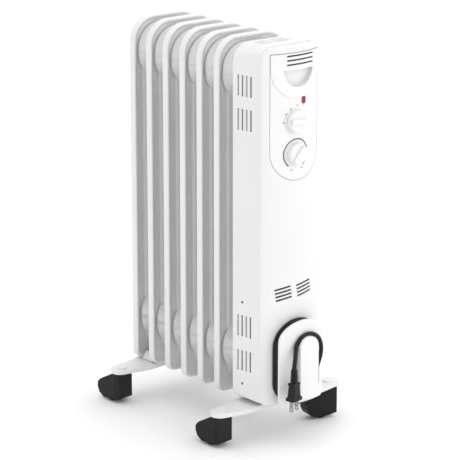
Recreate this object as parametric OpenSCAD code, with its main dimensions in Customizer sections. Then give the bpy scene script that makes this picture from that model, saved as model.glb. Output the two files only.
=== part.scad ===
// Oil filled radiator heater: seven pressed steel sections in a row, a control
// housing with a crowned front, a cord wrap with a hanging plug, and two foot
// bars on swivel casters.  Millimetres, +Z up, the control panel faces -Y.

/* [View] */
// Sub-part to draw

/* [Sections] */
// Width of a radiator section across X
fin_w = 132; // [110:1:150]
// Height of the underside of the sections above the floor
fin_z0 = 60; // [50:1:80]
// Height of the top of the sections above the floor
fin_z1 = 620; // [500:1:660]
// Spacing between section centres
fin_pitch = 41.9; // [34:0.1:46]
// Depth of the folded rim of a section
rim_d = 13; // [8:0.5:18]
// Sheet thickness of the rim
rim_t = 1.6; // [1:0.1:3]
// Corner radius at the top of a section
rim_rt = 38; // [15:1:50]
// Corner radius at the bottom of a section
rim_rb = 13; // [6:1:30]
// Thickness of the oil channels
chan_t = 11; // [7:0.5:13]
// Height of the upper header centre
hub_zt = 565; // [520:1:590]
// Height of the lower header centre
hub_zb = 130; // [100:1:160]
// Half width of a header
hub_hw = 46; // [26:0.5:50]
// End radius of a header
hub_r = 27; // [18:0.5:30]

/* [Housing] */
// Half width of the housing at its back edge
box_hw = 67; // [60:0.5:72]
// Half width of the housing where the front begins
box_hwf = 57.5; // [50:0.5:67]
// Height of the housing top
box_z1 = 617.5; // [560:0.5:630]
// Height of the housing underside
box_z0 = 66; // [60:0.5:90]
// Sheet thickness of the housing
box_t = 2; // [1.2:0.1:3]
// Radius of the crowned front
crown_r = 119; // [100:1:180]
// Wall thickness of the front
front_t = 2.5; // [1.5:0.1:4]
// Height of the bottom edge of the front
front_z0 = 62; // [58:0.5:80]

/* [Controls] */
// Half width of the control panel
ctl_hw = 45.6; // [35:0.1:50]
// Height of the top edge of the control panel
ctl_z1 = 607.2; // [560:0.1:612]
// Height of the centre of the round lower end of the control panel
ctl_zc = 459; // [430:1:500]
// Radius of the two control knobs
knob_r = 17; // [12:0.5:20]
// Height of the mode knob centre
sel_z = 504.5; // [490:0.5:520]
// Height of the thermostat knob centre
thm_z = 454; // [440:0.5:470]

/* [Cord wrap] */
// Half width of the wrap cover
plate_hw = 43; // [34:0.5:50]
// Top height of the wrap cover
plate_z1 = 196.5; // [160:1:220]
// Bottom height of the wrap cover
plate_z0 = 65; // [60:0.5:80]
// Diameter of the mains cord
cord_d = 6.8; // [5:0.1:9]

/* [Feet] */
// Half length of a foot bar to the caster pivot
foot_x = 108; // [100:1:125]
// Height of a foot bar top at its ends
foot_z = 57; // [54:0.5:62]
// Caster wheel radius
wheel_r = 18; // [14:0.5:22]
// Trail of the caster wheel behind its pivot
trail = 16; // [10:0.5:22]
// Angle the casters are turned to at rest
yaw = 10; // [0:1:45]
// Angle the front right caster is turned to at rest
yaw_fr = 80; // [0:1:90]

/* [Hidden] */

fin_y0 = 162.5;
fin7_y = -96.5;
fin_ys = [for (k = [0:5]) fin_y0 - k*fin_pitch];
y_back = -89;
y_join = -143;
crown_y = -40;
taper = (box_hw - box_hwf)/(y_back - y_join);
y_shield = -113;
foot_yf = -112;
foot_yr = 143.3;
white = [0.93, 0.93, 0.92];
dark = [0.12, 0.12, 0.13];
steel = [0.7, 0.71, 0.73];

// points of an arc about (cx, cy) from a0 to a1
function arc(cx, cy, r, a0, a1, n) = [for (i = [0:n]) let (a = a0 + (a1 - a0)*i/n) [cx + r*cos(a), cy + r*sin(a)]];
// rectangle with its own radius at the bottom and at the top corners
function rrect(x0, x1, z0, z1, rb, rt, n) = concat(
  arc(x1 - rb, z0 + rb, rb, -90, 0, n), arc(x1 - rt, z1 - rt, rt, 0, 90, n),
  arc(x0 + rt, z1 - rt, rt, 90, 180, n), arc(x0 + rb, z0 + rb, rb, 180, 270, n));
// arch: round top, small radius at the bottom corners
function archp(hw, z0, z1, rb, n) = concat(
  arc(hw - rb, z0 + rb, rb, -90, 0, n), arc(0, z1 - hw*0.72, hw, 0, 0, 1),
  [for (i = [1:2*n - 1]) let (a = 180*i/(2*n)) [hw*cos(a), z1 - hw*0.72 + hw*0.72*sin(a)]],
  [[-hw, z1 - hw*0.72]], arc(-hw + rb, z0 + rb, rb, 180, 270, n));
// racetrack: half round top, round bottom corners
function track(hw, z0, z1, rb, n) = concat(
  arc(hw - rb, z0 + rb, rb, -90, 0, n), arc(0, z1 - hw, hw, 0, 180, 2*n),
  arc(-hw + rb, z0 + rb, rb, 180, 270, n));

// profile in X,Z pushed from y0 towards -Y down to y1
module along_y(y0, y1) { translate([0, y0, 0]) rotate([90, 0, 0]) linear_extrude(y0 - y1) children(); }
// profile in Y,Z pushed from x0 to x1
module along_x(x0, x1) { translate([x0, 0, 0]) rotate([90, 0, 90]) linear_extrude(x1 - x0) children(); }
module rod_y(x, z, r, y0, y1) { translate([x, y0, z]) rotate([90, 0, 0]) cylinder(r = r, h = y0 - y1, $fn = 48); }
module rod_x(y, z, r, x0, x1) { translate([x0, y, z]) rotate([0, 90, 0]) cylinder(r = r, h = x1 - x0, $fn = 48); }
module box(x0, x1, y0, y1, z0, z1) { translate([x0, y0, z0]) cube([x1 - x0, y1 - y0, z1 - z0]); }
// upright layer between two radii about the crown axis
module crown_layer(ro, ri, z0, z1) {
  translate([0, crown_y, z0]) difference() {
    cylinder(r = ro, h = z1 - z0, $fn = 240);
    translate([0, 0, -1]) cylinder(r = ri, h = z1 - z0 + 2, $fn = 240);
  }
}
module crown_piece(ro, ri, y0, z0, z1) {
  intersection() { crown_layer(ro, ri, z0, z1); along_y(y0, -260) children(); }
}

// ---------- radiator sections ----------
module channel(x, hw, t, z0, z1) {
  translate([x, 0, z0]) linear_extrude(z1 - z0)
    polygon([[-hw, -t*0.22], [-hw*0.62, -t/2], [hw*0.62, -t/2], [hw, -t*0.22],
             [hw, t*0.22], [hw*0.62, t/2], [-hw*0.62, t/2], [-hw, t*0.22]]);
}
// outline of a header about height z, grown by g
module hub_outline(z, g) { polygon(rrect(-hub_hw - g, hub_hw + g, z - hub_r - g, z + hub_r + g, hub_r + g, hub_r + g, 8)); }
chan_x = [-32, -10.7, 10.7, 32];
module section(y, w, z1, rt) {
  translate([0, y, 0]) difference() {
    union() {
      difference() {
        along_y(rim_d/2, -rim_d/2) polygon(rrect(-w/2, w/2, fin_z0, z1, rim_rb, rt, 9));
        along_y(rim_d/2 + 1, -rim_d/2 - 1) polygon(rrect(-w/2 + rim_t, w/2 - rim_t, fin_z0 + rim_t, z1 - rim_t, rim_rb - rim_t, rt - rim_t, 9));
      }
      // rolled inner lip of the rim
      difference() {
        along_y(rim_d/2 - 0.6, -rim_d/2 + 0.6) polygon(rrect(-w/2 + rim_t/2, w/2 - rim_t/2, fin_z0 + rim_t/2, z1 - rim_t/2, rim_rb - 0.8, rt - 0.8, 9));
        along_y(rim_d/2, -rim_d/2) polygon(rrect(-w/2 + 3.4, w/2 - 3.4, fin_z0 + 3.4, z1 - 3.4, rim_rb - 3.4, rt - 3.4, 9));
      }
      along_y(1.3, -1.3) polygon(rrect(-w/2 + 0.8, w/2 - 0.8, fin_z0 + 0.8, z1 - 0.8, rim_rb - 0.8, rt - 0.8, 9));
      for (x = chan_x) channel(x, 10, chan_t, hub_zb, hub_zt);
      // collars pressed round the two headers
      for (z = [hub_zb, hub_zt]) along_y(rim_d/2, -rim_d/2) hub_outline(z, 4);
    }
    for (x = chan_x) channel(x, 8, chan_t - 3, hub_zb, hub_zt);
    for (z = [hub_zb, hub_zt]) along_y(rim_d/2 + 1, -rim_d/2 - 1) hub_outline(z, 0);
  }
}
module fin_1() { color(white) section(fin_ys[0], fin_w, fin_z1, rim_rt); }
module fin_2() { color(white) section(fin_ys[1], fin_w, fin_z1, rim_rt); }
module fin_3() { color(white) section(fin_ys[2], fin_w, fin_z1, rim_rt); }
module fin_4() { color(white) section(fin_ys[3], fin_w, fin_z1, rim_rt); }
module fin_5() { color(white) section(fin_ys[4], fin_w, fin_z1, rim_rt); }
module fin_6() { color(white) section(fin_ys[5], fin_w, fin_z1, rim_rt); }
module fin_7() { color(white) section(fin7_y, 124, 613, 32); }

// header tube through every section, closed at the rear, with ports to the channels
module header_tube(z, s) {
  color(white) difference() {
    union() {
      along_y(fin_ys[0] + 10.5, fin7_y - 8) hub_outline(z, 0);
      along_y(fin_ys[0] + 11.7, fin_ys[0] + 10) hub_outline(z, -7);
    }
    along_y(fin_ys[0] + 8, fin7_y - 9) hub_outline(z, -2.4);
    for (y = concat(fin_ys, [fin7_y]), x = chan_x) translate([x - 7, y - 3.4, z + (s > 0 ? 10 : -40)]) cube([14, 6.8, 30]);
  }
}
module header_end(z, y0, y1) { along_y(y0, y1) hub_outline(z, 0); }
module header_upper() { header_tube(hub_zt, -1); }
module header_lower() { header_tube(hub_zb, 1); }
module header_plug() {
  color(white) difference() { header_end(hub_zt, fin7_y - 8, fin7_y - 10.5); rod_y(0, hub_zt, 5, fin7_y, fin7_y - 20); }
}
module filler_plug() {
  color(steel) union() {
    rod_y(0, hub_zt, 5, fin7_y - 4, fin7_y - 12);
    translate([0, fin7_y - 10.5, hub_zt]) rotate([90, 0, 0]) cylinder(r = 9, h = y_shield*-1 - 10.5 + fin7_y, $fn = 6);
  }
}
module heater_flange() {
  color(steel) difference() {
    union() { header_end(hub_zb, fin7_y - 8, fin7_y - 12); rod_y(0, hub_zb, 19, fin7_y - 11, fin7_y - 14); }
    for (x = [-12, 12]) rod_y(x, hub_zb, 4, fin7_y, fin7_y - 30);
  }
}
module heating_element() {
  color([0.5, 0.5, 0.52]) union() {
    for (x = [-12, 12]) {
      rod_y(x, hub_zb, 4, fin_ys[0] - 18, -112.4);
      translate([x, fin_ys[0] - 18, hub_zb]) sphere(r = 4.7, $fn = 32);
    }
    rod_x(fin_ys[0] - 18, hub_zb, 4, -12, 12);
  }
}
module thermal_cutout() { color(steel) rod_y(30, hub_zb, 8, fin7_y - 12, y_shield); }

// ---------- control housing ----------
function hw_at(y) = box_hw - taper*(y_back - y);
module plan(in, y0, y1) {
  translate([0, 0, -10]) linear_extrude(700)
    polygon([[-hw_at(y0) + in, y0], [-hw_at(y1) + in, y1], [hw_at(y1) - in, y1], [hw_at(y0) - in, y0]]);
}
module box_body(in, y0, y1, z0) {
  intersection() {
    plan(in, y0, y1);
    along_y(y0 + 1, y1 - 1) polygon(rrect(-box_hw + in, box_hw - in, z0, box_z1 - in, 12 - in, 28 - in, 10));
  }
}
side_y = [-99.1, -107.2, -115.3, -123.4];
side_z = [[541, 573], [489, 522], [166, 200], [111, 144]];
module housing_shell() {
  color(white) difference() {
    box_body(0, y_back, y_join, box_z0);
    box_body(box_t, y_back + 2, y_join - 2, box_z0 + box_t);
    // clearance for the last section and its rim
    box(-62.8, 62.8, y_back - 16, y_back + 3, 40, box_z0 + 20);
    // opening for the top grille and the seat of the front
    box(-44, 40, -126, -93, box_z1 - 10, box_z1 + 5);
    box(-47.9, 47.9, y_join - 3, -137, box_z1 - box_t - 1, box_z1 + 5);
    for (y = side_y, z = side_z) for (s = [-1, 1])
      translate([s*62 - 9, y - 1.6, z[0]]) cube([18, 3.2, z[1] - z[0]]);
    for (s = [-1, 1], z = [90, 220.5]) rod_x(-107.3, z, 2.2, s > 0 ? 55 : -75, s > 0 ? 75 : -55);
  }
}
module top_grille() {
  color(white) difference() {
    box(-44, 40, -126, -93, box_z1 - box_t, box_z1);
    for (i = [0:4]) {
      box(-36, -12, -117.5 + i*5 - 1.2, -117.5 + i*5 + 1.2, box_z1 - 5, box_z1 + 5);
      box(-7, 21, -117.5 + i*5 - 1.2, -117.5 + i*5 + 1.2, box_z1 - 5, box_z1 + 5);
    }
  }
}
module heat_shield() {
  color(steel) difference() {
    intersection() {
      box_body(box_t, y_back, y_join, box_z0 + box_t);
      box(-80, 80, y_shield - 1.5, y_shield, 40, 640);
    }
    rod_y(0, hub_zb, 21, y_shield + 5, y_shield - 5);
    for (i = [0:5]) box(-30, 30, y_shield - 5, y_shield + 5, 220 + i*50, 226 + i*50);
  }
}
function front_outline(in) = rrect(-box_hwf + in, box_hwf - in, front_z0 + in, 615.7 - in, 9 - in, 13 - in, 8);
function ctl_outline(g) = concat(arc(0, ctl_zc, ctl_hw + g, 180, 360, 32), [[ctl_hw + g, ctl_z1 + g], [-ctl_hw - g, ctl_z1 + g]]);
low_dz = [-8.6, -2.9, 2.8, 8.5];
module front_panel() {
  color(white) difference() {
    union() {
      crown_piece(crown_r, crown_r - front_t, y_join, 50, 620) polygon(front_outline(0));
      // top, bottom and side returns
      intersection() {
        translate([0, crown_y, 50]) cylinder(r = crown_r - 0.5, h = 600, $fn = 240);
        difference() {
          along_y(y_join, -200) polygon(front_outline(0));
          along_y(y_join + 1, -201) polygon(front_outline(front_t));
        }
      }
      box(-47.9, 47.9, y_join - 5, -137, 613.2, 615.7);
      // ledge behind the control panel
      crown_piece(crown_r - front_t, crown_r - 4.5, y_join, 50, 620) difference() {
        polygon([[-50, 405], [50, 405], [50, 612], [-50, 612]]);
        polygon(concat(arc(0, ctl_zc, ctl_hw - 3.5, 180, 360, 32), [[ctl_hw - 3.5, 606], [-ctl_hw + 3.5, 606]]));
      }
    }
    crown_piece(crown_r + 2, crown_r - front_t, y_join + 1, 50, 620) polygon(ctl_outline(0.9));
    // two groups of lower vents, rising a little to the right
    for (g = [[-23, 14, 238.2], [16, 15, 240.7]]) translate([g[0], 0, g[2]]) rotate([0, -8, 0])
      for (z = low_dz) box(-g[1], g[1], -170, -120, z - 1.6, z + 1.6);
  }
}
bez_zc = 585;
module bezel_mask(g) {
  polygon(concat(arc(0, bez_zc, ctl_hw + g, 180, 360, 36), [[ctl_hw + g, 640], [-ctl_hw - g, 640]]));
}
module control_panel() {
  color(white) difference() {
    union() {
      crown_piece(crown_r, crown_r - front_t, y_join, 400, 620) difference() { polygon(ctl_outline(0)); bezel_mask(0); }
      // flat pads under the two knobs, bosses behind them
      intersection() {
        union() { rod_y(-4, sel_z, knob_r + 2, -145, -159.8); rod_y(-2.6, thm_z, knob_r + 2.5, -145, -159.8); }
        crown_layer(crown_r + 4, crown_r - 1, 400, 620);
      }
      difference() {
        union() { rod_y(-4, sel_z, 8, -151.6, -158); rod_y(-2.6, thm_z, 8, -151.6, -158); }
      }
    }
    rod_y(-4, sel_z, 3.6, -130, -170);
    rod_y(-2.6, thm_z, 3.6, -130, -170);
    along_y(-130, -170) polygon([for (p = rrect(-3.6, 3.6, -5.7, 5.7, 3.5, 3.5, 8)) [p[0] + 11.7, p[1] + 534.4]]);
  }
}
vent_z = [590.3, 596.9, 603.5];
module handle_bezel() {
  color(white) difference() {
    union() {
      crown_piece(crown_r + 1.6, crown_r - front_t, y_join, 500, 620) intersection() { polygon(ctl_outline(0)); bezel_mask(-0.02); }
      // walls and floor of the finger pocket
      intersection() {
        along_y(-147.4, -158) polygon(concat(arc(2, 584, 30.6, 180, 360, 24), [[32.6, 585.6], [-28.6, 585.6]]));
        translate([0, crown_y, 500]) cylinder(r = crown_r, h = 110, $fn = 240);
      }
    }
    along_y(-149.4, -180) polygon(concat(arc(2, 584, 28.8, 183, 357, 24)));
    for (z = vent_z) box(-21, 31, -170, -120, z - 1.35, z + 1.35);
  }
}
module indicator_lens() {
  color([0.6, 0.03, 0.03]) intersection() {
    along_y(-152, -162) polygon([for (p = rrect(-3.6, 3.6, -5.7, 5.7, 3.5, 3.5, 8)) [p[0] + 11.7, p[1] + 534.4]]);
    translate([0, crown_y, 500]) cylinder(r = crown_r + 1.3, h = 60, $fn = 240);
  }
}
module neon_lamp() { color([0.9, 0.6, 0.4]) rod_y(11.7, 534.4, 2.6, -136, -152); }
module knob(x, z, ang) {
  difference() {
    union() {
      rod_y(x, z, knob_r, -160.3, -164.8);
      rod_y(x, z, knob_r - 1.4, -164, -166.3);
      translate([x, -166, z]) rotate([0, ang, 0]) box(-3.2, 3.2, -4.8, 0.4, -knob_r + 2.6, knob_r - 2.6);
    }
    rod_y(x, z, 3, -150, -166);
  }
}
module selector_knob() { color(white) knob(-4, sel_z, -86); }
module selector_shaft() { color(steel) rod_y(-4, sel_z, 3, -134, -166); }
module thermostat_knob() { color(white) knob(-2.6, thm_z, 40); }
module thermostat_shaft() { color(steel) rod_y(-2.6, thm_z, 3, -134, -166); }
module rotary_switch() {
  color(dark) difference() {
    union() { box(-19, 11, -151.6, -130, sel_z - 15, sel_z + 15); box(-10, 2, -130.5, -124, sel_z - 10, sel_z - 4); }
    rod_y(-4, sel_z, 3.06, -132, -160);
  }
}
module thermostat_body() {
  color(dark) difference() {
    union() { box(-19.6, 14.4, -151.6, -130, thm_z - 17, thm_z + 17); box(-12, 6, -130.5, -123, thm_z + 2, thm_z + 9); }
    rod_y(-2.6, thm_z, 3.06, -132, -160);
  }
}
module tip_switch_case() {
  color(dark) union() {
    difference() {
      box(12, 48, y_shield - 23, y_shield - 1.5, 72, 114);
      box(14, 46, y_shield - 30, y_shield - 3.5, 74, 112);
    }
    rod_y(30, 106, 1.5, y_shield - 2, y_shield - 22);
  }
}
module tip_pendulum() {
  color(steel) difference() {
    union() {
      rod_y(30, 106, 4, y_shield - 7, y_shield - 19);
      box(28.4, 31.6, y_shield - 15, y_shield - 11, 84, 104);
      rod_y(30, 84, 6.5, y_shield - 6, y_shield - 20);
    }
    rod_y(30, 106, 1.55, y_shield, y_shield - 40);
  }
}
module terminal_block() {
  color([0.85, 0.83, 0.75]) difference() {
    box(-46, -14, y_shield - 17, y_shield - 1.5, 76, 92);
    for (i = [0:2]) translate([-40 + i*10, y_shield - 10, 84]) cylinder(r = 2.4, h = 20, $fn = 32);
  }
}

// ---------- cord wrap ----------
coil_z0 = 60;
coil_z1 = 197;
module cord_core() { color(white) crown_piece(crown_r + 14.4, crown_r, -120, 50, 220) polygon(track(28.8, 74.1, 182.9, 23.4, 10)); }
module cord_coil() {
  color(dark) crown_piece(crown_r + 14.2, crown_r + 0.2, -120, 50, 220) difference() {
    polygon(track(42.9, coil_z0, coil_z1, 37.5, 10));
    polygon(track(29.1, coil_z0 + 13.8, coil_z1 - 13.8, 23.7, 10));
  }
}
module cord_plate() {
  color(white) difference() {
    crown_piece(crown_r + 17.4, crown_r + 14.4, -120, 50, 220) translate([1.2, 0]) polygon(archp(plate_hw, plate_z0, plate_z1, 5, 8));
    box(28.4, 37.2, -200, -120, 86, 134);
  }
}
module cord_hook() {
  color(white) union() {
    translate([3, 0, 0]) along_y(-184, -188.4) polygon(track(18, 74, 172.5, 8, 8));
    difference() {
      along_y(-170, -185) polygon(rrect(-10, 14, 80, 168.4, 4, 11, 8));
      translate([0, crown_y, 50]) cylinder(r = crown_r + 17.4, h = 170, $fn = 240);
    }
  }
}
// sweep of a round section along points
function vnorm(v) = v/norm(v);
function cr(a, b, c, d, t) = 0.5*((2*b) + (c - a)*t + (2*a - 5*b + 4*c - d)*t*t + (3*b - a - 3*c + d)*t*t*t);
function smooth(p, k) = let (n = len(p)) concat([for (i = [0:n - 2]) for (j = [0:k - 1])
  cr(p[max(i - 1, 0)], p[i], p[i + 1], p[min(i + 2, n - 1)], j/k)], [p[n - 1]]);
module sweep(p, r, m) {
  n = len(p);
  t = [for (i = [0:n - 1]) vnorm(p[min(i + 1, n - 1)] - p[max(i - 1, 0)])];
  u = [for (i = [0:n - 1]) vnorm(cross(t[i], [0.31, 0.9, 0.17]))];
  v = [for (i = [0:n - 1]) cross(t[i], u[i])];
  pts = [for (i = [0:n - 1]) for (j = [0:m - 1]) p[i] + r*(cos(360*j/m)*u[i] + sin(360*j/m)*v[i])];
  polyhedron(pts, concat([[for (j = [0:m - 1]) j]],
    [for (i = [0:n - 2]) for (j = [0:m - 1]) [i*m + j, (i + 1)*m + j, (i + 1)*m + (j + 1)%m, i*m + (j + 1)%m]],
    [[for (j = [0:m - 1]) n*m - 1 - j]]), convexity = 6);
}
lead_pts = [[48, -153.8, 88], [48, -153.8, 100], [47.4, -153.9, 116], [45, -154.6, 132], [41.5, -155.9, 146]];
tail_pts = [[32.6, -165.6, 98], [32.8, -168.9, 109], [33, -174.2, 121.5], [33, -178.7, 134], [33, -180.2, 147.5],
  [29.4, -180.2, 160.8], [19.8, -180.2, 170.4], [6.5, -180.2, 174], [-6.7, -180.2, 170.4], [-16, -180.3, 161],
  [-19.4, -182, 153.4], [-22.6, -184.9, 147.2], [-26, -188.2, 141.4], [-29.5, -191, 136], [-31.5, -192.5, 130]];
plug_x = -31.5;
plug_y = -192.5;
module cord_lead() { color(dark) sweep(smooth(lead_pts, 3), cord_d/2, 12); }
module cord_tail() { color(dark) sweep(smooth(tail_pts, 3), cord_d/2, 12); }
module cord_gland() {
  color(dark) difference() {
    union() {
      difference() { box(42.9 + 0.6, 52.5, -159, -140, 66, 80); translate([0, crown_y, 50]) cylinder(r = crown_r, h = 100, $fn = 240); }
      translate([48, -153.8, 79]) cylinder(r = 4.4, h = 9, $fn = 32);
    }
  }
}
module plug_body() {
  color(dark) translate([plug_x, plug_y, 0]) rotate([0, 0, 12]) union() {
    translate([0, 0, 105]) cylinder(r = 4, h = 25, $fn = 32);
    for (i = [0:4]) translate([0, 0, 109.5 + i*4]) cylinder(r = 5.4, h = 2.2, $fn = 32);
    box(-9.2, 9.2, -6.2, 6.2, 104, 107);
    translate([0, 6.5, 0]) rotate([90, 0, 0]) linear_extrude(13) polygon([[-6.8, 105], [6.8, 105], [9.8, 84], [-9.8, 84]]);
    box(-12, 12, -8.5, 8.5, 79.5, 84.5);
  }
}
module prong(s) {
  color(steel) translate([plug_x, plug_y, 0]) rotate([0, 0, 12]) difference() {
    box(s*6.35 - 0.8, s*6.35 + 0.8, -3.2, 3.2, 62, 79.5);
    rod_x(0, 65.5, 1.6, s*6.35 - 3, s*6.35 + 3);
  }
}
module plug_prong_1() { prong(-1); }
module plug_prong_2() { prong(1); }

// ---------- feet ----------
function bar_plan(in) = concat(
  arc(foot_x + 3, 0, 15 - in, -78, 78, 10), [[60, 25 - in], [-60, 25 - in]],
  arc(-foot_x - 3, 0, 15 - in, 102, 258, 10), [[-60, -25 + in], [60, -25 + in]]);
module bar(y) {
  translate([0, y, 0]) difference() {
    union() {
      intersection() {
        translate([0, 0, 40]) linear_extrude(30) polygon(bar_plan(0));
        along_y(40, -40) polygon([[-140, foot_z], [-78, foot_z], [-42, fin_z0], [42, fin_z0], [78, foot_z], [140, foot_z],
          [140, foot_z - 6.4], [78, foot_z - 6.4], [42, fin_z0 - 7], [-42, fin_z0 - 7], [-78, foot_z - 6.4], [-140, foot_z - 6.4]]);
      }
      for (s = [-1, 1]) translate([s*foot_x, 0, foot_z - 0.5]) cylinder(r = 8.6, h = 2, $fn = 48);
    }
    intersection() {
      translate([0, 0, 30]) linear_extrude(40) difference() {
        polygon(bar_plan(2));
        for (s = [-1, 1]) translate([s*foot_x, 0]) circle(r = 8, $fn = 48);
      }
      along_y(40, -40) polygon([[-140, foot_z - 2], [-78, foot_z - 2], [-42, fin_z0 - 2], [42, fin_z0 - 2], [78, foot_z - 2], [140, foot_z - 2],
        [140, 20], [-140, 20]]);
    }
    for (s = [-1, 1]) translate([s*foot_x, 0, 40]) cylinder(r = 4.55, h = foot_z - 40, $fn = 48);
    translate([0, 0, 30]) cylinder(r = 3, h = 40, $fn = 48);
  }
}
module foot_bar_front() { color(white) bar(foot_yf); }
module foot_bar_rear() { color(white) bar(foot_yr); }
module foot_saddle_rear() {
  color(white) difference() {
    along_y(154.5, 130) polygon([[-58, fin_z0], [-50, 71], [50, 71], [58, fin_z0], [42, fin_z0], [-42, fin_z0]]);
    translate([0, foot_yr, 40]) cylinder(r = 3, h = 27, $fn = 48);
  }
}
module foot_saddle_front() {
  color(white) difference() {
    box(-40, 40, -138, -106, fin_z0, box_z0);
    translate([0, foot_yf, 40]) cylinder(r = 3, h = 24, $fn = 48);
  }
}
module clamp(y, z1) {
  color(steel) translate([0, y, 0]) union() {
    translate([0, 0, 44]) cylinder(r = 3, h = z1 - 44, $fn = 48);
    translate([0, 0, 50]) cylinder(r = 6.5, h = fin_z0 - 52, $fn = 48);
    for (s = [-1, 1]) box(s > 0 ? 5 : -15, s > 0 ? 15 : -5, -1.4, 1.4, 47, 55);
  }
}
module clamp_front() { clamp(foot_yf, 64); }
module clamp_rear() { clamp(foot_yr, 67); }

// ---------- casters ----------
module at_caster(sx, y) { translate([sx*foot_x, y, 0]) rotate([0, 0, sx > 0 && y < 0 ? yaw_fr : yaw]) children(); }
module hood() {
  color(dark) union() {
    difference() {
      intersection() {
        along_x(-20, 20) polygon([[-8, 8], [8, 5], [30, 4], [40, 10], [44, 18], [44, 26], [38, 33], [6, 50], [-8, 50]]);
        translate([0, 0, 0]) linear_extrude(60) polygon([[-15, -8], [15, -8], [15, 2], [10.5, 44], [-10.5, 44], [-15, 2]]);
      }
      difference() {
        intersection() {
          along_x(-20, 20) polygon([[-5.8, -1], [29, -1], [30, 6.6], [38.6, 11.8], [41.8, 18.6], [41.8, 25.2], [36.8, 31.1], [5.4, 47.8], [-5.8, 47.8]]);
          translate([0, 0, -5]) linear_extrude(60) polygon([[-12.8, -5.8], [12.8, -5.8], [12.8, 2], [8.3, 41.8], [-8.3, 41.8], [-12.8, 2]]);
        }
        translate([0, 0, 40]) cylinder(r = 7.4, h = 20, $fn = 48);
      }
      rod_x(trail, wheel_r, 2.5, -12.4, 12.4);
    }
    translate([0, 0, 41]) cylinder(r = 4.5, h = foot_z - 41.6, $fn = 48);
  }
}
module axle() { color(steel) rod_x(trail, wheel_r, 2.5, -12.4, 12.4); }
module wheel() {
  color(dark) difference() {
    union() { rod_x(trail, wheel_r, wheel_r, -7.5, 7.5); rod_x(trail, wheel_r, 6, -8.6, 8.6); }
    for (s = [-1, 1]) difference() { rod_x(trail, wheel_r, 12.5, s*6.7 - 1.3, s*6.7 + 1.3); rod_x(trail, wheel_r, 6, -10, 10); }
    rod_x(trail, wheel_r, 2.55, -10, 10);
  }
}
module caster_hood_fl() { at_caster(-1, foot_yf) hood(); }
module caster_hood_fr() { at_caster(1, foot_yf) hood(); }
module caster_hood_rl() { at_caster(-1, foot_yr) hood(); }
module caster_hood_rr() { at_caster(1, foot_yr) hood(); }
module caster_axle_fl() { at_caster(-1, foot_yf) axle(); }
module caster_axle_fr() { at_caster(1, foot_yf) axle(); }
module caster_axle_rl() { at_caster(-1, foot_yr) axle(); }
module caster_axle_rr() { at_caster(1, foot_yr) axle(); }
module caster_wheel_fl() { at_caster(-1, foot_yf) wheel(); }
module caster_wheel_fr() { at_caster(1, foot_yf) wheel(); }
module caster_wheel_rl() { at_caster(-1, foot_yr) wheel(); }
module caster_wheel_rr() { at_caster(1, foot_yr) wheel(); }

fin_1();
fin_2();
fin_3();
fin_4();
fin_5();
fin_6();
fin_7();
header_upper();
header_lower();
header_plug();
heater_flange();
heating_element();
filler_plug();
heat_shield();
housing_shell();
top_grille();
front_panel();
control_panel();
handle_bezel();
selector_knob();
selector_shaft();
rotary_switch();
thermostat_knob();
thermostat_shaft();
thermostat_body();
indicator_lens();
neon_lamp();
thermal_cutout();
tip_switch_case();
tip_pendulum();
terminal_block();
cord_core();
cord_plate();
cord_hook();
cord_gland();
cord_lead();
cord_coil();
cord_tail();
plug_body();
plug_prong_1();
plug_prong_2();
foot_bar_front();
foot_bar_rear();
foot_saddle_front();
foot_saddle_rear();
clamp_front();
clamp_rear();
caster_hood_fl();
caster_hood_fr();
caster_hood_rl();
caster_hood_rr();
caster_axle_fl();
caster_axle_fr();
caster_axle_rl();
caster_axle_rr();
caster_wheel_fl();
caster_wheel_fr();
caster_wheel_rl();
caster_wheel_rr();
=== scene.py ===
import math
import bpy
import bmesh
from mathutils import Matrix, Vector


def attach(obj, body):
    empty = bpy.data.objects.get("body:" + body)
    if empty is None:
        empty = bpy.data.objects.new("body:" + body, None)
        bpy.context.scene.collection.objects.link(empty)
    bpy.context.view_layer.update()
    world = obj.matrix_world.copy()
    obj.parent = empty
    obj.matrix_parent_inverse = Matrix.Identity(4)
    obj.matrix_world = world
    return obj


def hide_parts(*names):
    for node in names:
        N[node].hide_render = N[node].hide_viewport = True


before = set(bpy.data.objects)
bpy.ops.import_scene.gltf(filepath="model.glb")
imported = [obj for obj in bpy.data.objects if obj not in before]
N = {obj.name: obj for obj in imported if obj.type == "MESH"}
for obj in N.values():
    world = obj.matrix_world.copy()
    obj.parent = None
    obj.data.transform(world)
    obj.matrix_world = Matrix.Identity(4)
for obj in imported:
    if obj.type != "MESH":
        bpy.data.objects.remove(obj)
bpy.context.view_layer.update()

scene = bpy.context.scene
mm = 0.001

# ---------------------------------------------------------------- camera
az, el, dist = math.radians(-39.1), math.radians(16.0), 3.7
view_dir = Vector((-math.sin(az) * math.cos(el), math.cos(az) * math.cos(el), -math.sin(el)))
target = Vector((0.0, 0.0003, 0.2994))
cam_data = bpy.data.cameras.new("camera")
cam_data.sensor_width = 36.0
cam_data.lens = 185.5
cam_data.clip_end = 60
cam = bpy.data.objects.new("camera", cam_data)
cam.location = target - view_dir * dist
cam.rotation_euler = view_dir.to_track_quat("-Z", "Y").to_euler()
scene.collection.objects.link(cam)
scene.camera = cam


# ---------------------------------------------------------------- helpers
def link(obj, mat, body):
    """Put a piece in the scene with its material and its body."""
    scene.collection.objects.link(obj)
    if obj.type == "MESH":
        for p in obj.data.polygons:
            p.use_smooth = True
    obj.data.materials.append(mat)
    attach(obj, body)


def mesh_obj(name, verts, faces):
    me = bpy.data.meshes.new(name)
    me.from_pydata([tuple(v) for v in verts], [], faces)
    me.validate()
    bm = bmesh.new()
    bm.from_mesh(me)
    bmesh.ops.recalc_face_normals(bm, faces=bm.faces)
    bm.to_mesh(me)
    bm.free()
    return bpy.data.objects.new(name, me)


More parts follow.
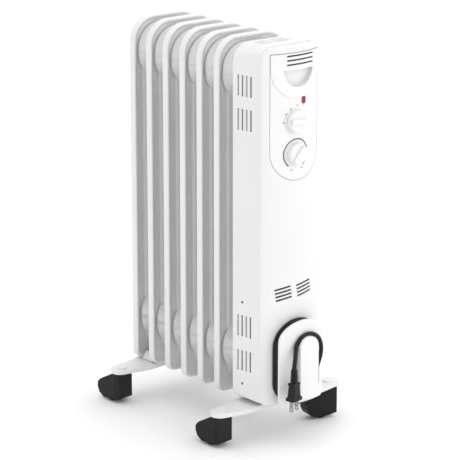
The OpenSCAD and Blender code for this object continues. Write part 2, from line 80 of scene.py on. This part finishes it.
def bevel(obj, width, segs, angle):
    """Round the edges that are sharper than angle, in degrees."""
    m = obj.modifiers.new("bevel", "BEVEL")
    m.width = width
    m.segments = segs
    m.limit_method = "ANGLE"
    m.angle_limit = math.radians(angle)
    m.use_clamp_overlap = True
    m.harden_normals = False


def rounded_ring(hx, hy, r, n):
    """n points of a rounded rectangle, starting on +X, anticlockwise."""
    out = []
    for i in range(n):
        t = 2 * math.pi * (i + 0.5) / n
        c, s = math.cos(t), math.sin(t)
        cx, cy = (hx - r) * (1 if c >= 0 else -1), (hy - r) * (1 if s >= 0 else -1)
        out.append((cx + r * c, cy + r * s))
    return out


def lofted(rings, caps=True):
    """Vertices and faces of a skin through rings that have the same number of points."""
    n = len(rings[0])
    faces = [(k * n + i, k * n + (i + 1) % n, (k + 1) * n + (i + 1) % n, (k + 1) * n + i)
             for k in range(len(rings) - 1) for i in range(n)]
    if caps:
        faces += [tuple(range(n)), tuple(range((len(rings) - 1) * n, len(rings) * n))]
    return [p for ring in rings for p in ring], faces


# ---------------------------------------------------------------- materials
def base_mat(name):
    """New node material: the material, its tree, its shader and object coordinates."""
    m = bpy.data.materials.new(name)
    m.use_nodes = True
    nt = m.node_tree
    bsdf = nt.nodes["Principled BSDF"]
    co = nt.nodes.new("ShaderNodeTexCoord")
    return m, nt, bsdf, co.outputs["Object"]


def noise(nt, vec, scale, detail=3.0, rough=0.55):
    n = nt.nodes.new("ShaderNodeTexNoise")
    n.inputs["Scale"].default_value = scale
    n.inputs["Detail"].default_value = detail
    n.inputs["Roughness"].default_value = rough
    nt.links.new(vec, n.inputs["Vector"])
    return n.outputs["Fac"]


def ramp(nt, fac, a, b, lo=0.3, hi=0.7):
    r = nt.nodes.new("ShaderNodeMapRange")
    r.inputs["From Min"].default_value = lo
    r.inputs["From Max"].default_value = hi
    r.inputs["To Min"].default_value = a
    r.inputs["To Max"].default_value = b
    nt.links.new(fac, r.inputs["Value"])
    return r.outputs["Result"]


def mix_col(nt, fac, a, b):
    m = nt.nodes.new("ShaderNodeMix")
    m.data_type = "RGBA"
    m.inputs["A"].default_value = (*a, 1)
    m.inputs["B"].default_value = (*b, 1)
    nt.links.new(fac, m.inputs["Factor"])
    return m.outputs["Result"]


def bump(nt, height, strength, distance):
    b = nt.nodes.new("ShaderNodeBump")
    b.inputs["Strength"].default_value = strength
    b.inputs["Distance"].default_value = distance
    nt.links.new(height, b.inputs["Height"])
    return b.outputs["Normal"]


def enamel(name, a, b, rough, peel):
    """Baked enamel: faint tone drift, fine orange peel, slightly uneven gloss."""
    m, nt, p, co = base_mat(name)
    drift = noise(nt, co, 9.0, 2.0)
    nt.links.new(mix_col(nt, ramp(nt, drift, 0, 1), a, b), p.inputs["Base Color"])
    nt.links.new(ramp(nt, noise(nt, co, 60.0, 3.0), rough - 0.05, rough + 0.07), p.inputs["Roughness"])
    fine = noise(nt, co, 900.0, 2.0)
    nt.links.new(bump(nt, fine, peel, 0.00006), p.inputs["Normal"])
    p.inputs["IOR"].default_value = 1.5
    p.inputs["Specular IOR Level"].default_value = 0.45
    return m


def plastic(name, a, b, rough, grain, grain_scale=1600.0, spec=0.5):
    """Moulded plastic: fine spark-eroded grain and soft sheen."""
    m, nt, p, co = base_mat(name)
    nt.links.new(mix_col(nt, ramp(nt, noise(nt, co, 25.0, 3.0), 0, 1), a, b), p.inputs["Base Color"])
    nt.links.new(ramp(nt, noise(nt, co, 120.0, 3.0), rough - 0.06, rough + 0.06), p.inputs["Roughness"])
    v = nt.nodes.new("ShaderNodeTexVoronoi")
    v.inputs["Scale"].default_value = grain_scale
    nt.links.new(co, v.inputs["Vector"])
    nt.links.new(bump(nt, v.outputs["Distance"], grain, 0.00008), p.inputs["Normal"])
    p.inputs["Specular IOR Level"].default_value = spec
    return m


def metal(name, a, b, rough):
    """Bare metal with fine drawn streaks."""
    m, nt, p, co = base_mat(name)
    mp = nt.nodes.new("ShaderNodeMapping")
    mp.inputs["Scale"].default_value = (1, 1, 40)
    nt.links.new(co, mp.inputs["Vector"])
    f = noise(nt, mp.outputs["Vector"], 90.0, 4.0)
    nt.links.new(mix_col(nt, ramp(nt, f, 0, 1), a, b), p.inputs["Base Color"])
    nt.links.new(ramp(nt, f, rough - 0.06, rough + 0.1), p.inputs["Roughness"])
    p.inputs["Metallic"].default_value = 1.0
    nt.links.new(bump(nt, f, 0.15, 0.00005), p.inputs["Normal"])
    return m


WHITE = enamel("white_enamel", (0.80, 0.80, 0.795), (0.82, 0.82, 0.815), 0.36, 0.10)
WHITE_SHELL = enamel("white_shell", (0.80, 0.80, 0.795), (0.82, 0.82, 0.815), 0.42, 0.12)
WHITE_PL = plastic("white_plastic", (0.83, 0.83, 0.825), (0.85, 0.85, 0.845), 0.34, 0.05)
BLACK = plastic("black_plastic", (0.007, 0.007, 0.008), (0.012, 0.012, 0.013), 0.42, 0.35, 1100.0, 0.2)
TYRE = plastic("black_wheel", (0.006, 0.006, 0.006), (0.010, 0.010, 0.010), 0.5, 0.3, 900.0, 0.2)
CORD = plastic("cord_vinyl", (0.008, 0.008, 0.009), (0.014, 0.014, 0.015), 0.40, 0.12, 700.0, 0.25)
STEEL = metal("bare_steel", (0.52, 0.53, 0.55), (0.62, 0.63, 0.64), 0.34)
NICKEL = metal("nickel_prong", (0.30, 0.29, 0.27), (0.40, 0.39, 0.36), 0.28)
INK = plastic("black_ink", (0.012, 0.012, 0.012), (0.02, 0.02, 0.02), 0.5, 0.02)
INK_GREY = plastic("grey_ink", (0.20, 0.20, 0.21), (0.24, 0.24, 0.25), 0.5, 0.02)
CREAM = plastic("terminal_cream", (0.70, 0.67, 0.56), (0.76, 0.73, 0.62), 0.5, 0.1)


def lens_mat():
    """Ribbed red lens, with painted shade: its colour is darker towards its edges, where the surface turns away from
    the view.
    """
    m, nt, p, co = base_mat("red_lens")
    # painted shade: the base colour darkens where the surface turns away from the view
    lw = nt.nodes.new("ShaderNodeLayerWeight")
    lw.inputs["Blend"].default_value = 0.35
    nt.links.new(mix_col(nt, lw.outputs["Facing"], (0.27, 0.0, 0.003), (0.12, 0.0, 0.002)), p.inputs["Base Color"])
    w = nt.nodes.new("ShaderNodeTexWave")
    w.inputs["Scale"].default_value = 420.0
    w.bands_direction = "X"
    nt.links.new(co, w.inputs["Vector"])
    nt.links.new(bump(nt, w.outputs["Fac"], 0.12, 0.0001), p.inputs["Normal"])
    p.inputs["Roughness"].default_value = 0.12
    p.inputs["Coat Weight"].default_value = 0.5
    return m


LENS = lens_mat()
LAMP = plastic("lamp_glass", (0.75, 0.42, 0.22), (0.8, 0.5, 0.3), 0.15, 0.02)

CORNERS = ("fl", "fr", "rl", "rr")
MATS = {}
for i in range(1, 8):
    MATS["fin_%d" % i] = WHITE
for n in ("header_upper", "header_lower", "header_plug", "foot_bar_front", "foot_bar_rear",
          "foot_saddle_front", "foot_saddle_rear"):
    MATS[n] = WHITE
for n in ("housing_shell", "front_panel", "top_grille"):
    MATS[n] = WHITE_SHELL
for n in ("control_panel", "handle_bezel", "selector_knob", "thermostat_knob", "cord_core", "cord_plate", "cord_hook"):
    MATS[n] = WHITE_PL
for n in ("heater_flange", "heating_element", "filler_plug", "heat_shield", "thermal_cutout", "selector_shaft",
          "thermostat_shaft", "tip_pendulum", "clamp_front", "clamp_rear"):
    MATS[n] = STEEL
for k in CORNERS:
    MATS["caster_axle_" + k] = STEEL
    MATS["caster_hood_" + k] = BLACK
    MATS["caster_wheel_" + k] = TYRE
for n in ("rotary_switch", "thermostat_body", "tip_switch_case"):
    MATS[n] = BLACK
for n in ("cord_gland", "cord_lead", "cord_coil", "cord_tail", "plug_body"):
    MATS[n] = CORD
MATS["plug_prong_1"] = MATS["plug_prong_2"] = NICKEL
MATS["indicator_lens"] = LENS
MATS["neon_lamp"] = LAMP
MATS["terminal_block"] = CREAM
for n, o in N.items():
    o.data.materials.clear()
    o.data.materials.append(MATS[n])

# edges are rolled or moulded, so every hard edge gets a small round
SOFT = {"housing_shell": 0.9, "front_panel": 0.8, "control_panel": 0.5, "handle_bezel": 0.5, "cord_plate": 0.9,
        "cord_core": 0.6, "cord_hook": 1.2, "top_grille": 0.3, "selector_knob": 0.7, "thermostat_knob": 0.7,
        "foot_bar_front": 1.0, "foot_bar_rear": 1.0, "foot_saddle_front": 0.8, "foot_saddle_rear": 0.8,
        "clamp_front": 0.5, "clamp_rear": 0.5, "indicator_lens": 0.6, "plug_prong_1": 0.25, "plug_prong_2": 0.25,
        "header_upper": 1.0, "header_lower": 1.0, "tip_switch_case": 0.4, "terminal_block": 0.5,
        "rotary_switch": 0.5, "thermostat_body": 0.5}
for k in CORNERS:
    SOFT["caster_hood_" + k] = 1.2
    SOFT["caster_wheel_" + k] = 0.8
for n, w in SOFT.items():
    bevel(N[n], w * mm, 2, 32)

# the housing's front is crowned about an upright axis at this Y
CROWN_Y = -40.0


def on_crown(x, z, r):
    """Point at (x, z) on the cylinder of radius r about the crown's axis."""
    return Vector((x, CROWN_Y - math.sqrt(r * r - x * x), z))


# ---------------------------------------------------------------- pressed sections
# middle planes of the seven sections: six at one pitch, the last one by the housing
REAR_Y, PITCH, LAST_Y = 162.5, 41.9, -96.5
FIN_Y = [REAR_Y - PITCH * k for k in range(6)] + [LAST_Y]
FIN_Z0 = 60  # underside of the sections
HUB_Z, HUB_HW, HUB_R = (130.0, 565.0), 46.0, 27.0  # headers: heights, half width, corner radius
CHANNEL_X = (-32, -10.7, 10.7, 32)


def outline(hw, z0, z1, rb, rt, n=7):
    """Closed (x, z) outline with its own bottom and top corner radii."""
    pts = []
    corners = ((hw - rb, z0 + rb, rb, -90), (hw - rt, z1 - rt, rt, 0),
               (rt - hw, z1 - rt, rt, 90), (rb - hw, z0 + rb, rb, 180))
    for cx, cz, r, a in corners:
        for i in range(n + 1):
            t = math.radians(a + 90 * i / n)
            pts.append((cx + r * math.cos(t), cz + r * math.sin(t)))
    return pts


def join_parts(name, parts):
    """One mesh of several (verts, faces) parts, in millimetres."""
    verts, faces = [], []
    for vs, fs in parts:
        k = len(verts)
        verts += [(x * mm, y * mm, z * mm) for x, y, z in vs]
        faces += [tuple(i + k for i in f) for f in fs]
    return mesh_obj(name, verts, faces)


# inset from the edge and height off the middle plane: panel, recess, rolled rim
PRESS = [(28.0, 4.8), (25.0, 4.7), (22.6, 4.2), (20.9, 2.6), (19.4, 1.4), (18.0, 1.3), (9.5, 1.3), (7.2, 1.9),
         (5.7, 3.4), (4.4, 5.0), (3.3, 6.1), (2.1, 6.5), (1.0, 6.2), (0.3, 5.4), (0.0, 4.2), (0.0, 0.0)]
PANEL_D = 17.0  # inset where the raised panel begins
PANEL_R, PANEL_R_D, PANEL_TAPER = 25.0, 16.2, 0.8  # its corner radius at one inset, and loss per mm
# half profile of an oil channel, and its height with the scale of the profile there
CHANNEL = [(4.5, 5.5), (6.2, 5.3), (7.6, 4.7), (8.8, 3.9)]
CHANNEL_ENDS = [(148, 0.78), (152, 0.93), (158, 1.0), (537, 1.0), (543, 0.93), (547, 0.78)]


def section_mesh(name, w, z1, rt):
    """Pressed section of width w with its top at z1: rim, recess, panel and four oil channels."""
    rings = []
    for d, y in PRESS + [(d, -y) for d, y in PRESS[-2::-1]]:
        panel_r = PANEL_R - (d - PANEL_R_D) * PANEL_TAPER
        rb = panel_r if d > PANEL_D else max(13 - d, 3.0)
        rr = panel_r if d > PANEL_D else max(rt - d, 3.0)
        rings.append([(x, y, z) for x, z in outline(w / 2 - d, FIN_Z0 + d, z1 - d, rb, rr)])
    parts = [lofted(rings)]
    prof = [(-x, y) for x, y in CHANNEL[::-1]] + CHANNEL
    prof += [(x, -y) for x, y in prof[::-1]]
    for cx in CHANNEL_X:
        parts.append(lofted([[(cx + x * (0.5 + 0.5 * k), y * k, z) for x, y in prof] for z, k in CHANNEL_ENDS]))
    return join_parts(name, parts).data


fin_mesh, last_mesh = section_mesh("section", 132, 620, 38), section_mesh("section_last", 124, 613, 32)
for i, y in enumerate(FIN_Y):
    o = bpy.data.objects.new("section_%d" % (i + 1), last_mesh if y == LAST_Y else fin_mesh)
    o.location = (0, y * mm, 0)
    scene.collection.objects.link(o)
    if not o.data.materials:
        o.data.materials.append(WHITE)
        for p in o.data.polygons:
            p.use_smooth = True
    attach(o, "heater")
    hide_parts("fin_%d" % (i + 1))

# necks drawn out of each section where it meets the headers: growth of the header's
# outline and distance from the section's middle plane
INNER_NECK = [(17, 3.6), (13.5, 5.2), (9.6, 7.2), (6.2, 9.8), (3.6, 12.6), (1.6, 15.8), (0.5, 18.6), (0.1, 20.2)]
END_NECK = [(12, 3.6), (9.5, 5.0), (6.0, 6.2), (2.5, 7.2), (0.2, 7.8)]
NECK_HW = 56  # necks stay inside the rolled rim


def neck(y, z, side, most):
    """Neck on one side of the section at y, about the header at z, grown by most at the most."""
    outer = (y == LAST_Y and side < 0) or (y == REAR_Y and side > 0)
    rings = []
    for g, h in END_NECK if outer else INNER_NECK:
        g = min(g, most)
        r = HUB_R + min(g, 14)
        shape = outline(min(HUB_HW + g, NECK_HW), z - HUB_R - g, z + HUB_R + g, r, r)
        rings.append([(px, y + side * h, pz) for px, pz in shape])
    return lofted(rings, caps=False)


parts = [neck(y, z, side, 13.0 if y == LAST_Y else 17.0) for y in FIN_Y for z in HUB_Z for side in (-1, 1)]
link(join_parts("header_necks", parts), WHITE, "heater")


# ---------------------------------------------------------------- dial printing
INK_R = 119.1  # just proud of the front's radius
DIAL = (-2.3, 454, 22.5, 1.7)  # centre, radius and line width of the thermostat's ring
MODE_DOTS = ((-25, 503.6), (-21, 516), (-12.6, 523.4), (-0.5, 527.8))


def ink(name, shapes, mat):
    """Flat printed shapes, each a closed strip of (x, z) pairs, laid just proud of the crown."""
    parts = []
    for strip in shapes:
        vs = [tuple(on_crown(x, z, INK_R)) for pair in strip for x, z in pair]
        fs = [(2 * k, 2 * k + 1, 2 * k + 3, 2 * k + 2) for k in range(len(strip) - 1)]
        parts.append((vs, fs))
    link(join_parts(name, parts), mat, "heater")


def arc_strip(cx, cz, r, w, a0, a1):
    """Line of width w along an arc of radius r from a0 to a1 degrees."""
    out, n = [], max(6, int(abs(a1 - a0) / 4))
    for k in range(n + 1):
        t = math.radians(a0 + (a1 - a0) * k / n)
        out.append(((cx + (r - w / 2) * math.cos(t), cz + (r - w / 2) * math.sin(t)),
                    (cx + (r + w / 2) * math.cos(t), cz + (r + w / 2) * math.sin(t))))
    return out


def dash(cx, cz, w, h):
    """Short printed bar about (cx, cz)."""
    return [((x, cz - h / 2), (x, cz + h / 2)) for x in (cx - w / 2, cx + w / 2)]


ink("dial_ring", [arc_strip(*DIAL, 15, 232), arc_strip(*DIAL, -55, 2),
                  dash(-11, 430, 3.6, 1.1), dash(9, 431, 3.6, 1.1)], INK)
ink("dial_dots", [arc_strip(x, z, 0.6, 1.15, 0, 360) for x, z in MODE_DOTS] + [dash(11.8, 526.2, 3.0, 0.7)],
    INK_GREY)

# ---------------------------------------------------------------- mains cord
CORD_D = 6.8
GLAND_X, GLAND_Y = 48, -153.8


def step(s, a, b):
    """Smooth rise from 0 to 1 as s goes from a to b."""
    t = min(max((s - a) / (b - a), 0.0), 1.0)
    return t * t * (3 - 2 * t)


# outer wound turn: half width, bottom corner radius, and where the straight sides end
WRAP_HW, WRAP_R = 39.5, 34.1
WRAP_Z0, WRAP_Z1 = 97.6, 154.0
FLAT = WRAP_HW - WRAP_R
SIDE, TOP, COR, BOT = WRAP_Z1 - WRAP_Z0, math.pi * WRAP_HW, math.pi / 2 * WRAP_R, 2 * FLAT
LAP = 2 * SIDE + TOP + 2 * COR + BOT
LOW = 2 * SIDE + TOP  # distance along one turn to the end of the left side
STEP_IN, STEP_OUT = 6.9, 7.0  # a cord's width inwards and outwards
LAYER_R = 122.6  # radius of the inner layer about the crown's axis


def lap_point(s, off, r):
    """Point of the winding's base line at distance s along one turn, moved outwards by off."""
    if s < SIDE:
        x, z = WRAP_HW + off, WRAP_Z0 + s
    elif s < SIDE + TOP:
        a = (s - SIDE) / WRAP_HW
        x, z = (WRAP_HW + off) * math.cos(a), WRAP_Z1 + (WRAP_HW + off) * math.sin(a)
    elif s < LOW:
        x, z = -WRAP_HW - off, WRAP_Z1 - (s - SIDE - TOP)
    elif s < LOW + COR:
        a = math.pi + (s - LOW) / WRAP_R
        x, z = -FLAT + (WRAP_R + off) * math.cos(a), WRAP_Z0 + (WRAP_R + off) * math.sin(a)
    elif s < LOW + COR + BOT:
        x, z = -FLAT + (s - LOW - COR), WRAP_Z0 - WRAP_R - off
    else:
        a = 1.5 * math.pi + (s - LOW - COR - BOT) / WRAP_R
        x, z = FLAT + (WRAP_R + off) * math.cos(a), WRAP_Z0 + (WRAP_R + off) * math.sin(a)
    return on_crown(x, z, r)


def catmull(pts, k):
    """Smooth line through pts, with k steps between each two."""
    out = []
    for i in range(len(pts) - 1):
        a, b, c, d = (Vector(pts[min(max(j, 0), len(pts) - 1)]) for j in range(i - 1, i + 3))
        for j in range(k):
            t = j / k
            out.append(0.5 * (2 * b + (c - a) * t + (2 * a - 5 * b + 4 * c - d) * t * t
                              + (3 * b - a - 3 * c + d) * t ** 3))
    out.append(Vector(pts[-1]))
    return out


# free stretches: from the gland up to the winding, and from it over the hook to the plug
lead = [(GLAND_X, GLAND_Y, 88), (GLAND_X, GLAND_Y, 100), (47.4, -153.9, 116), (45, -154.6, 132), (41.5, -155.9, 146)]
tail = [(32.6, -165.6, 98), (32.8, -168.9, 109), (33, -174.2, 121.5), (33, -178.7, 134), (33, -180.2, 147.5),
        (29.4, -180.2, 160.8), (19.8, -180.2, 170.4), (6.5, -180.2, 174), (-6.7, -180.2, 170.4), (-16, -180.3, 161),
        (-19.4, -182, 153.4), (-22.6, -184.9, 147.2), (-26, -188.2, 141.4), (-29.5, -191, 136), (-31.5, -192.5, 130)]
# turn 1 ends a cord's width inwards, turn 2 comes out again, turn 3 climbs on to the
# outer layer, and turn 4 steps inwards there
TURNS, SPACING, FIRST = 4, 3.0, 22  # turns, distance between points, first point
wound = []
for q in range(FIRST, int(TURNS * LAP / SPACING)):
    k, u = int(q * SPACING // LAP), q * SPACING % LAP
    off, r = 0.0, LAYER_R
    if k == 0:
        off = -STEP_IN * step(u, LOW, LAP)
    elif k == 1:
        off = -STEP_IN + STEP_IN * step(u, LOW, LAP)
    elif k == 2:
        r = LAYER_R + STEP_OUT * step(u, 28, 58)
    else:
        off, r = -STEP_IN * step(u, 6, 32), LAYER_R + STEP_OUT
    wound.append(lap_point(u, off, r))
route = catmull(lead + [tuple(wound[0])], 6)[:-1] + wound + catmull(tail, 5)
route = [p * mm for p in route]
cu = bpy.data.curves.new("mains_cord", "CURVE")
cu.dimensions = "3D"
cu.bevel_depth = CORD_D / 2 * mm
cu.bevel_resolution = 4
cu.use_fill_caps = True
sp = cu.splines.new("POLY")
sp.points.add(len(route) - 1)
for i, p in enumerate(route):
    sp.points[i].co = (*p, 1)
sp.use_smooth = True
cord = bpy.data.objects.new("mains_cord", cu)
link(cord, CORD, "heater")
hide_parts("cord_lead", "cord_coil", "cord_tail")

# ---------------------------------------------------------------- plug
PX, PY, PLUG_TURN = -31.5, -192.5, 12
turn = Matrix.Rotation(math.radians(PLUG_TURN), 3, "Z")


def plug_ring(z, hx, hy, r, n=48):
    """Rounded rectangle about the plug's axis, turned with the plug."""
    return [(Vector((PX, PY, z)) + turn @ Vector((x, y, 0))) * mm for x, y in rounded_ring(hx, hy, r, n)]


# height, half width, half depth and corner radius: six ribs of the strain relief,
# the upper flange, the grip and the face
rows = [(130, 3.7, 3.7, 3.69), (128.6, 4.0, 4.0, 3.99)]
for i in range(6):
    z, w = 127.4 - i * 3.2, 4.9 + i * 0.12
    rows += [(z, w - 1.0, w - 1.0, w - 1.01), (z - 0.3, w + 0.3, w + 0.3, w + 0.2),
             (z - 1.5, w + 0.4, w + 0.4, w + 0.3), (z - 1.8, w - 1.0, w - 1.0, w - 1.01)]
rows += [(108.2, 4.6, 4.4, 4.3), (107.4, 6.5, 5.2, 3.2), (107.0, 8.9, 6.0, 2.4), (105.0, 9.2, 6.2, 2.2),
         (104.2, 8.9, 6.0, 2.4), (103.6, 7.2, 6.2, 2.6), (98, 7.7, 6.4, 2.6), (91, 8.6, 6.5, 2.6),
         (85.4, 9.6, 6.6, 2.6), (84.6, 10.6, 7.4, 2.8), (84.2, 11.6, 8.2, 3.2), (83.2, 12.0, 8.5, 3.4),
         (80.5, 12.0, 8.5, 3.4), (79.7, 11.7, 8.3, 3.2), (79.5, 11.0, 7.8, 3.0)]
plug = mesh_obj("plug_shell", *lofted([plug_ring(*r) for r in rows]))
link(plug, CORD, "heater")
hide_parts("plug_body")

# ---------------------------------------------------------------- cord gland with its sleeve
def disc_ring(z, r, n=32):
    """Ring of radius r about the gland's axis."""
    turns = [2 * math.pi * i / n for i in range(n)]
    return [Vector((GLAND_X + r * math.cos(t), GLAND_Y + r * math.sin(t), z)) * mm for t in turns]


# height and radius: a collar, five ribs and a thin mouth
steps = [(79.2, 3.4), (79.2, 5.0), (81, 5.2), (83, 5.1)]
for i in range(5):
    z, w = 83 + i * 3.6, 4.9 - 0.16 * i
    steps += [(z, w), (z + 0.5, w - 0.7), (z + 1.5, w - 0.7), (z + 2.0, w - 0.05), (z + 3.4, w - 0.1)]
steps += [(102.5, 3.9), (103.2, 3.45)]
sleeve = mesh_obj("gland_sleeve", *lofted([disc_ring(z, r) for z, r in steps], caps=False))
link(sleeve, CORD, "heater")
bevel(N["cord_gland"], 1.0 * mm, 3, 30)

# ---------------------------------------------------------------- floor and light
bpy.ops.mesh.primitive_plane_add(size=30, location=(0, 0, 0))
floor = bpy.context.object
floor.name = "floor"
fm, fnt, fp, fco = base_mat("floor_paint")
drift = ramp(fnt, noise(fnt, fco, 3.0, 2.0), 0, 1)
fnt.links.new(mix_col(fnt, drift, (0.97, 0.97, 0.97), (0.98, 0.98, 0.98)), fp.inputs["Base Color"])
fp.inputs["Roughness"].default_value = 0.75
fp.inputs["Specular IOR Level"].default_value = 0.15
floor.data.materials.append(fm)

world = bpy.data.worlds.new("world")
scene.world = world
world.use_nodes = True
# even white light, a little weaker from the left so that the housing's side reads
wn = world.node_tree
wco, wsep, wmap = (wn.nodes.new(t) for t in ("ShaderNodeTexCoord", "ShaderNodeSeparateXYZ", "ShaderNodeMapRange"))
wn.links.new(wco.outputs["Generated"], wsep.inputs["Vector"])
wn.links.new(wsep.outputs["X"], wmap.inputs["Value"])
for k, v in (("From Min", -1.0), ("From Max", 1.0), ("To Min", 0.86), ("To Max", 1.30)):
    wmap.inputs[k].default_value = v
wn.nodes["Background"].inputs["Color"].default_value = (1, 1, 1, 1)
wn.links.new(wmap.outputs["Result"], wn.nodes["Background"].inputs["Strength"])


def area(name, loc, aim, size, power, size_y=None):
    """Soft area light at loc that faces aim."""
    d = bpy.data.lights.new(name, "AREA")
    d.size = size
    if size_y:
        d.shape = "RECTANGLE"
        d.size_y = size_y
    d.energy = power
    o = bpy.data.objects.new(name, d)
    o.location = loc
    o.rotation_euler = (Vector(aim) - Vector(loc)).to_track_quat("-Z", "Y").to_euler()
    scene.collection.objects.link(o)


area("key", (0.9, -2.6, 1.7), (0, -0.1, 0.3), 1.2, 9, 1.6)
area("top", (-0.4, 0.2, 2.6), (0, 0, 0.3), 1.4, 5)

scene.cycles.max_bounces = 6
scene.cycles.diffuse_bounces = 2
scene.view_settings.view_transform = "Standard"
scene.view_settings.look = "None"
scene.view_settings.exposure = 0.0
scene.view_settings.gamma = 1.0
